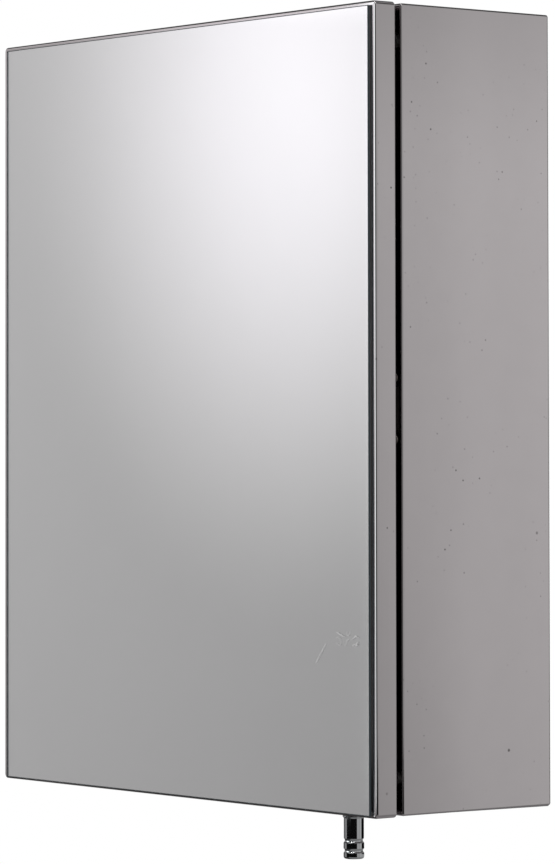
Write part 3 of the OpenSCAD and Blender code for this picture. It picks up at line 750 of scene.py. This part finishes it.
def turned(profile, centre, steps=64):
    """A profile of (radius, distance below the centre) turned about a vertical axis."""
    bm = bmesh.new()
    chain = [bm.verts.new(centre + Vector((radius, 0, -drop))) for radius, drop in profile]
    edges = [bm.edges.new(pair) for pair in zip(chain, chain[1:])]
    bmesh.ops.spin(bm, geom=chain + edges, cent=centre, axis=(0, 0, 1), angle=math.tau,
                   steps=steps, use_merge=True)
    bmesh.ops.remove_doubles(bm, verts=bm.verts, dist=ONE_CORNER)
    bmesh.ops.recalc_face_normals(bm, faces=bm.faces)
    return bm


pull_low, pull_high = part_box("door_pull")
pull_x = (pull_low.x + pull_high.x) / 2
pull_y = (pull_low.y + pull_high.y) / 2
PULL_LENGTH = pull_high.z - pull_low.z
print(f"the pull is {PULL_LENGTH / MM:.1f} mm long")

# %% [markdown]
# From the door down: the collar with a fine chamfer above and a slope below, the shaft, a
# groove, the upper bead, a groove, and the lower bead, whose end is rounded off.

# %% Turn the pull
COLLAR_R = (pull_high.x - pull_low.x) / 2
SHAFT_R = COLLAR_R - 0.6 * MM
BEAD_R = SHAFT_R + 0.15 * MM
CHAMFER_IN, CHAMFER_DOWN = 0.1 * MM, 0.15 * MM
COLLAR_END, SLOPE_END = 0.75 * MM, 1.5 * MM
UPPER_BEAD, LOWER_BEAD = 2.9 * MM, 3.1 * MM
ROUND, ROUND_STEPS = 1.2 * MM, 6

low_groove = PULL_LENGTH - LOWER_BEAD - GROOVE
high_groove = low_groove - UPPER_BEAD - GROOVE
profile = [(0, 0), (COLLAR_R - CHAMFER_IN, 0), (COLLAR_R, CHAMFER_DOWN), (COLLAR_R, COLLAR_END),
           (SHAFT_R, SLOPE_END)]
profile += groove_points(SHAFT_R, BEAD_R, high_groove)
profile += groove_points(BEAD_R, BEAD_R, low_groove)
for i in range(ROUND_STEPS + 1):
    turn = math.radians(90 * i / ROUND_STEPS)
    profile.append((BEAD_R - ROUND + ROUND * math.cos(turn),
                    PULL_LENGTH - ROUND + ROUND * math.sin(turn)))
profile.append((0, PULL_LENGTH))
bm = turned(profile, Vector((pull_x, pull_y, pull_high.z)))
new_piece("turned_pull", bm, "door", [CHROME], ["door_pull"], 30)

# %% [markdown]
# ## Small parts
#
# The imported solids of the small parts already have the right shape, so each is copied, its
# loose triangles are merged back into whole faces, and its sharp edges get the small radius
# that stamping, folding or moulding leaves. The first to be dressed are those that come in
# sets: rails, hinges, shelf pins and their sleeves.

# %% Copy the sets of small parts and round their edges


def on_outline(edge, low, high):
    """Whether an edge lies on the outer rectangle of a part, seen from the front."""
    return any(all(abs(v.co[axis] - limit[axis]) < ON_FACE for v in edge.verts)
               for axis in (0, 2) for limit in (low, high))


def dress(node, edge, material, body, segments=2, welded=False):
    """A copy of a part, with its sharp edges rounded by edge mm, but not where it is welded."""
    bm = bmesh.new()
    bm.from_mesh(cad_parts[node].data)
    bmesh.ops.remove_doubles(bm, verts=bm.verts, dist=ONE_CORNER)
    bmesh.ops.dissolve_limit(bm, angle_limit=math.radians(1), verts=bm.verts, edges=bm.edges)
    sharp = [e for e in bm.edges if e.is_manifold and e.calc_face_angle() > math.radians(40)
             and not (welded and on_outline(e, *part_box(node)))]
    round_edges(bm, sharp, edge * MM, segments)
    piece = new_piece("dressed_" + node, bm, body, [material], [node])
    weigh_normals(piece)
    return piece


for node in sorted(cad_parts):
    if node.startswith("shelf_rail"):
        dress(node, 0.15, ROLLED_STEEL, "cabinet")
    elif node.startswith(("hinge_base", "hinge_arm")):
        dress(node, 0.3, ZINC_STEEL, "cabinet")
    elif node.startswith(("hinge_box", "hinge_pin")):
        dress(node, 0.2, ZINC_STEEL, "door")
    elif node.startswith("shelf_pins"):
        dress(node, 0.25, CHROME, "cabinet")
    elif node.startswith("pin_sleeves"):
        dress(node, 0.2, CLEAR_VINYL, "cabinet")

# %% [markdown]
# The rest come once each. The catch plates and the strike plate are sheared from plated
# strip, so their left and right ends show dull bare steel, which is a second material on the
# faces that look that way. Its dark colour is painted shade for the gap between door and body,
# where these ends are seen.

# %% Copy the single small parts


def cut_ends_and_painted_shade(piece):
    """Gives the faces at a plate's left and right the look of a cut, darkened with painted shade.
    """
    piece.data.materials.append(CUT_STEEL_AND_SHADE)
    for face in piece.data.polygons:
        if abs(face.normal.x) > 0.9:
            face.material_index = 1


dress("front_frame", 0.12, POLISHED_STEEL, "cabinet", welded=True)
dress("rear_frame", 0.12, POLISHED_STEEL, "cabinet", welded=True)
dress("back_panel", 0.15, MILL_STEEL, "cabinet")
dress("door_inner_panel", 0.15, MILL_STEEL, "door")
dress("catch_housing", 0.4, WHITE_ABS, "cabinet")
dress("catch_magnet", 0.2, FERRITE, "cabinet")
cut_ends_and_painted_shade(dress("catch_plates", 0.15, ZINC_STEEL, "cabinet"))
dress("catch_screws", 0.3, NICKEL_STEEL, "cabinet")
dress("hinge_screws", 0.3, NICKEL_STEEL, "cabinet")
cut_ends_and_painted_shade(dress("strike_plate", 0.15, ZINC_STEEL, "door"))
dress("strike_rivets", 0.15, NICKEL_STEEL, "door")
dress("pull_screw", 0.3, NICKEL_STEEL, "door")
dress("door_bumpers", 0.6, SILICONE, "door", 3)
dress("mirror_tape", 0.1, FOAM_TAPE, "door")
dress("door_core", 0.3, BOARD, "door")

# %% [markdown]
# ## The studio
#
# A polished cabinet looks like whatever stands round it, so the studio matters as much as the
# steel. A tent of soft grey walls surrounds it, and everything in the studio shows only in
# reflections. The glow of each wall or card is built from soft ramps along its own axes.

# %% Tools for glowing cards


def smooth_step(tree, value, start, end, low=0.0, high=1.0):
    """A soft ramp: low where value is start, and high where it is end."""
    return add_node(tree, "MapRange", {"interpolation_type": "SMOOTHSTEP"},
                    {"Value": value, "From Min": start, "From Max": end,
                     "To Min": low, "To Max": high}).outputs[0]


def slope(tree, x, y, base, per_x, per_y):
    """A light that changes evenly: base, plus so much per metre along x and along y."""
    along_x = add_node(tree, "Math", {"operation": "MULTIPLY_ADD"}, {0: x, 1: per_x, 2: base})
    return add_node(tree, "Math", {"operation": "MULTIPLY_ADD"},
                    {0: y, 1: per_y, 2: along_x.outputs[0]}).outputs[0]


def glow_material(name, strength, dim="#ffffff", bright="#ffffff"):
    """A surface that only gives light, with one tint where it is dim and one where it is bright."""
    material, tree = new_material(name)
    point = add_node(tree, "TexCoord").outputs["Object"]
    axes = add_node(tree, "SeparateXYZ", {}, {0: point})
    level = strength(tree, *axes.outputs)
    share = add_node(tree, "MapRange", {}, {"Value": level, "From Min": 0.5, "From Max": 1.0})
    tint = add_node(tree, "Mix", {"data_type": "RGBA"},
                    {0: share.outputs[0], 6: linear(dim), 7: linear(bright)})
    light = add_node(tree, "Emission", {}, {"Color": tint.outputs[2], "Strength": level})
    return finished(material, light)


def stage_piece(name, bm, material):
    """Part of the studio that is only seen in reflections."""
    mesh = bpy.data.meshes.new(name)
    bm.to_mesh(mesh)
    bm.free()
    mesh.materials.append(material)
    piece = bpy.data.objects.new(name, mesh)
    bpy.context.scene.collection.objects.link(piece)
    piece.visible_camera = False
    piece.visible_diffuse = False
    piece.visible_shadow = False
    piece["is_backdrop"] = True
    return piece


print("tools for the studio are ready")

# %% [markdown]
# The tent is the inside of a sphere. It is dark below at the front left and in a high band,
# light elsewhere, and lighter with height.

# %% The tent
TENT_RADIUS = 3.4


def tent_light(tree, x, y, z):
    right, behind = smooth_step(tree, x, -1.0, 0.2), smooth_step(tree, y, 0, 1.2)
    open_side = add_node(tree, "Math", {"operation": "MAXIMUM"}, {0: right, 1: behind}).outputs[0]
    left_wall = smooth_step(tree, z, -1.2, 1.0, 0.05, 0.5)
    other_walls = smooth_step(tree, z, -2.4, 0.6, 0.24, 0.52)
    walls = smooth_step(tree, open_side, 0, 1, left_wall, other_walls)
    roof = total(tree, smooth_step(tree, z, 1.0, 2.0, 1, 0.12),
                 smooth_step(tree, z, 2.3, 3.0, 0, 0.8))
    return add_node(tree, "Math", {"operation": "MULTIPLY"}, {0: walls, 1: roof}).outputs[0]


bm = bmesh.new()
bmesh.ops.create_uvsphere(bm, u_segments=48, v_segments=24, radius=TENT_RADIUS)
bmesh.ops.reverse_faces(bm, faces=bm.faces)
stage_piece("studio_walls", bm, glow_material("studio_walls_light", tent_light))
print("the tent is", 2 * TENT_RADIUS, "m across")

# %% [markdown]
# Two upright cards make most of the picture. A flat mirror shows what lies where the line of
# sight goes after it bounces, so each card stands on that bearing: the soft box for the
# mirror, and a grey card for the steel side. Bearings are in degrees from the X axis.

# %% Where the cards stand
CAMERA_BEARING = -38.28
DOOR_BEARING = CAMERA_BEARING - 2 * (90 + CAMERA_BEARING)
SIDE_BEARING = -CAMERA_BEARING

middle_z = (cad_low.z + cad_high.z) / 2
door_middle = Vector((0, glass_front, middle_z))
side_middle = Vector((body_high.x, body_low.y / 2, middle_z))


def towards(bearing, distance, start):
    """The point at a distance from start, along a bearing in the X-Y plane."""
    turn = math.radians(bearing)
    return Vector(start) + distance * Vector((math.cos(turn), math.sin(turn), 0))


def card(name, centre, bearing, width, height, strength, *tints):
    """An upright card that faces back along its bearing. Seen from the cabinet, x runs right."""
    bm = bmesh.new()
    bmesh.ops.create_grid(bm, x_segments=1, y_segments=1, size=0.5)
    bmesh.ops.scale(bm, vec=(width, height, 1), verts=bm.verts)
    piece = stage_piece(name, bm, glow_material(name + "_light", strength, *tints))
    piece.rotation_euler = (math.radians(90), 0, math.radians(bearing) - math.radians(90))
    piece.location = centre


print("door bearing", round(DOOR_BEARING, 1), "side bearing", round(SIDE_BEARING, 1))

# %% [markdown]
# As seen from the cabinet, the soft box is a dim, slightly sloping grey with an oval glow, up
# and to the left, which the mirror shows at its upper right. It fades at its right end, and a
# brighter band runs along its top. The side card is lighter towards its left, has a pale
# upright streak, and is shaded at its top and its lower right.

# %% The two cards
GLOW_X, GLOW_Y = -0.0782, 0.3007
GLOW_HALF_WIDTH, GLOW_HALF_HEIGHT = 0.2735, 0.5007
STREAK_X, STREAK_HALF_WIDTH = -0.037, 0.029


def soft_box_light(tree, x, y, z):
    across = slope(tree, x, y, -GLOW_X / GLOW_HALF_WIDTH, 1 / GLOW_HALF_WIDTH, 0)
    up = slope(tree, x, y, -GLOW_Y / GLOW_HALF_HEIGHT, 0, 1 / GLOW_HALF_HEIGHT)
    reach = add_node(tree, "CombineXYZ", {}, {0: across, 1: up})
    away = add_node(tree, "VectorMath", {"operation": "LENGTH"}, {0: reach.outputs[0]})
    glow = smooth_step(tree, away.outputs["Value"], 1, 0, 0, 0.607)
    whole = total(tree, slope(tree, x, y, 0.432, 0.2195, 0.188), glow)
    left = smooth_step(tree, x, 0.195, 0.25, 1, smooth_step(tree, y, -0.4, 0.4, 0.15, 0.75))
    top = smooth_step(tree, y, 0.35, 0.42, 1, 1.5)
    edges = add_node(tree, "Math", {"operation": "MULTIPLY"}, {0: left, 1: top})
    return add_node(tree, "Math", {"operation": "MULTIPLY"},
                    {0: whole, 1: edges.outputs[0]}).outputs[0]


def side_card_light(tree, x, y, z):
    from_streak = add_node(tree, "Math", {"operation": "ABSOLUTE"},
                           {0: slope(tree, x, y, -STREAK_X, 1, 0)})
    streak = smooth_step(tree, from_streak.outputs[0], STREAK_HALF_WIDTH, 0, 0, 0.032)
    top = smooth_step(tree, slope(tree, x, y, 0, -0.127, 1), 0.182, 0.382, 0, -0.192)
    corner = smooth_step(tree, slope(tree, x, y, 0, 3, -1), 0.039, 0.288, 0, -0.038)
    return total(tree, slope(tree, x, y, 0.574, -0.875, 0.24), streak, top, corner)


card("soft_box", towards(DOOR_BEARING, 1.3, door_middle), DOOR_BEARING, 0.8, 1.1, soft_box_light,
     "#fdfbfc", "#fefbff")
card("side_card", towards(SIDE_BEARING, 0.8, side_middle), SIDE_BEARING, 0.34, 1.1, side_card_light)
print(f"the glow is {2 * GLOW_HALF_WIDTH:.2f} m wide and {2 * GLOW_HALF_HEIGHT:.2f} m high")

# %% [markdown]
# Rounded edges mirror everything round the cabinet in a line a millimetre wide, so each line
# along a fold has a source of its own. Each source is a band of a cylinder, made by spinning
# an upright edge about the vertical:
#
# - a black cloth hangs low, below what the mirror shows, and darkens the pull and lower folds
# - a dim wall above it draws the dark line between the door's front and its side
# - a cloth behind the cabinet darkens its rear edge
# - a bright strip near the soft box draws the white line along the door's front fold

# %% Cloths and the bright strip


def curved_band(name, radius, first, last, bottom, top, strength, *tints):
    """A band round the cabinet, between two bearings and two heights."""
    bm = bmesh.new()
    start = towards(first, radius, (0, 0, 0))
    ends = [bm.verts.new(start + Vector((0, 0, height))) for height in (bottom, top)]
    edge = bm.edges.new(ends)
    bmesh.ops.spin(bm, geom=ends + [edge], cent=(0, 0, 0), axis=(0, 0, 1),
                   angle=math.radians(last - first), steps=40)
    stage_piece(name, bm, glow_material(name + "_light", strength, *tints))
    print(f"{name}: {radius} m out, {last - first} degrees wide")


def cloth_light(tree, x, y, z):
    return smooth_step(tree, z, -0.42, -0.36, 0.004, 0.045)


def dim_wall_light(tree, x, y, z):
    """A little lighter with height, and lighter still high up and at the right end."""
    return total(tree, smooth_step(tree, z, -0.45, 0.4, 0.045, 0.1),
                 smooth_step(tree, z, 0.5, 1.4, 0, 0.4), smooth_step(tree, x, 1.6, 2.5, 0, 0.35))


def fold_strip_light(tree, x, y, z):
    """Brighter towards its top and towards the soft box."""
    height = smooth_step(tree, z, -0.45, 0.45, 2.2, 3.1)
    side = smooth_step(tree, x, -0.62, 0.1, 1, 0.03)
    return add_node(tree, "Math", {"operation": "MULTIPLY"}, {0: height, 1: side}).outputs[0]


curved_band("black_cloth", 2.5, -124, -5.5, -1.0, -0.36, cloth_light)
curved_band("dim_wall", 2.7, -118, -14, -0.4, 2, dim_wall_light)
curved_band("rear_cloth", 2.6, 54, 150, -0.55, 0.55, cloth_light)
curved_band("fold_strip", 1.0, -128.5, -70, -0.296, 0.6, fold_strip_light, "#f6ffff", "#f6ffff")

# %% [markdown]
# Two small bright lamps hang high in front of the pull, and face it. They show as points of
# light on the chrome.

# %% Small lamps that show in the chrome
LAMP_RISE = 55
LAMP_DISTANCE = 1.2
LAMP_STRENGTH = 12
pull_end = Vector((pull_x, pull_y, pull_low.z))


def lamp_disc(name, bearing, radius):
    bm = bmesh.new()
    bmesh.ops.create_circle(bm, cap_ends=True, segments=24, radius=radius)
    material, tree = new_material(name + "_light")
    light = add_node(tree, "Emission", {}, {"Strength": LAMP_STRENGTH})
    piece = stage_piece(name, bm, finished(material, light))
    height = LAMP_DISTANCE * math.tan(math.radians(LAMP_RISE))
    piece.location = towards(bearing, LAMP_DISTANCE, pull_end + Vector((0, 0, height)))
    piece.rotation_euler = (piece.location - pull_end).to_track_quat("Z", "Y").to_euler()
    print(name, "hangs", round(piece.location.z, 2), "m above the middle of the cabinet")


lamp_disc("high_lamp", -77, 0.16)
lamp_disc("second_lamp", -38, 0.12)

# %% [markdown]
# ## Lamps, floor and background
#
# Three soft area lamps and a pale world light the dull parts so that a colour renders about as
# it is written. The metal doesn't see the lamps. The world is white to the camera, to
# reflections and through glass, and a softer grey when it only lights.

# %% Lamps and world


def area_lamp(name, place, size, power):
    """A round lamp that faces the middle of the cabinet."""
    light = bpy.data.lights.new(name, "AREA")
    light.shape = "DISK"
    light.size = size
    light.energy = power
    lamp = bpy.data.objects.new(name, light)
    lamp.location = place
    lamp.rotation_euler = (-Vector(place)).to_track_quat("-Z", "Y").to_euler()
    lamp.visible_glossy = False
    lamp.visible_transmission = False
    bpy.context.scene.collection.objects.link(lamp)
    print(f"{name}: {power} W")


area_lamp("key_lamp", (-1.4, -1.9, 1.6), 1.2, 26)
area_lamp("fill_lamp", (1.9, -1.3, 0.7), 1.4, 14)
area_lamp("back_lamp", (0.6, 1.8, 1.2), 1.2, 12)

world = bpy.data.worlds.new("studio")
world.use_nodes = True
world.node_tree.nodes.clear()
tree = world.node_tree
path = add_node(tree, "LightPath")
seen = add_node(tree, "Math", {"operation": "MAXIMUM"},
                {0: path.outputs["Is Camera Ray"], 1: path.outputs["Is Glossy Ray"]})
shown = add_node(tree, "Math", {"operation": "MAXIMUM"},
                 {0: seen.outputs[0], 1: path.outputs["Is Transmission Ray"]})
strength = add_node(tree, "MapRange", {}, {"Value": shown.outputs[0], "To Min": 0.5, "To Max": 1})
sky = add_node(tree, "Background", {}, {"Color": (1, 1, 1, 1), "Strength": strength.outputs[0]})
add_node(tree, "OutputWorld", {}, {"Surface": sky.outputs[0]})
bpy.context.scene.world = world

# %% [markdown]
# The floor is a wide pale disc well below the cabinet, which hangs above it as on a wall. It
# takes the cabinet's shadow, and the metal doesn't show it.

# %% Floor
FLOOR_DROP = 0.95
FLOOR_RADIUS = 4.5
material, tree = new_material("pale_floor")
point = add_node(tree, "TexCoord").outputs["Object"]
fleck = add_node(tree, "TexNoise", {}, {"Vector": point, "Scale": per_mm(120), "Detail": 3})
tone = add_node(tree, "Mix", {"data_type": "RGBA"},
                {0: fleck.outputs["Fac"], 6: linear("#ececea"), 7: linear("#e6e6e4")})
paint = add_node(tree, "BsdfPrincipled", {}, {"Base Color": tone.outputs[2], "Roughness": 0.8})
bm = bmesh.new()
bmesh.ops.create_circle(bm, cap_ends=True, segments=96, radius=FLOOR_RADIUS)
mesh = bpy.data.meshes.new("floor")
bm.to_mesh(mesh)
bm.free()
mesh.materials.append(finished(material, paint))
floor = bpy.data.objects.new("floor", mesh)
floor.location = (0, 0, -FLOOR_DROP)
bpy.context.scene.collection.objects.link(floor)
floor.visible_glossy = False
floor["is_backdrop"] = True
print("floor", FLOOR_DROP, "m below the middle of the cabinet")

# %% [markdown]
# ## The camera
#
# A long lens looks almost level at the cabinet from its right, so that the door and the right
# side both show. The upright edges stay nearly upright because the lens is shifted down
# rather than tilted.

# %% Set the camera
lens = bpy.data.cameras.new("camera")
lens.lens = 173.11
lens.sensor_width = 36
lens.shift_x = 0.0082
lens.shift_y = -0.12271
camera = bpy.data.objects.new("camera", lens)
camera.location = (1.84916, -1.51595, -0.01417)
camera.rotation_euler = (math.radians(91.5126), math.radians(0.0931), math.radians(51.762))
bpy.context.scene.collection.objects.link(camera)
bpy.context.scene.camera = camera
bpy.context.scene.view_settings.view_transform = "Standard"
print("camera at", tuple(round(v, 3) for v in camera.location))

# %% [markdown]
# ## The size
#
# The dressed cabinet should be as large as the model and no larger, so the script prints how much
# it grew.

# %% Print how much the cabinet grew
low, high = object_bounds()
growth = [(new - old) / MM for new, old in zip(high - low, cad_high - cad_low)]
print("grew by", [round(g, 2) for g in growth], "mm")
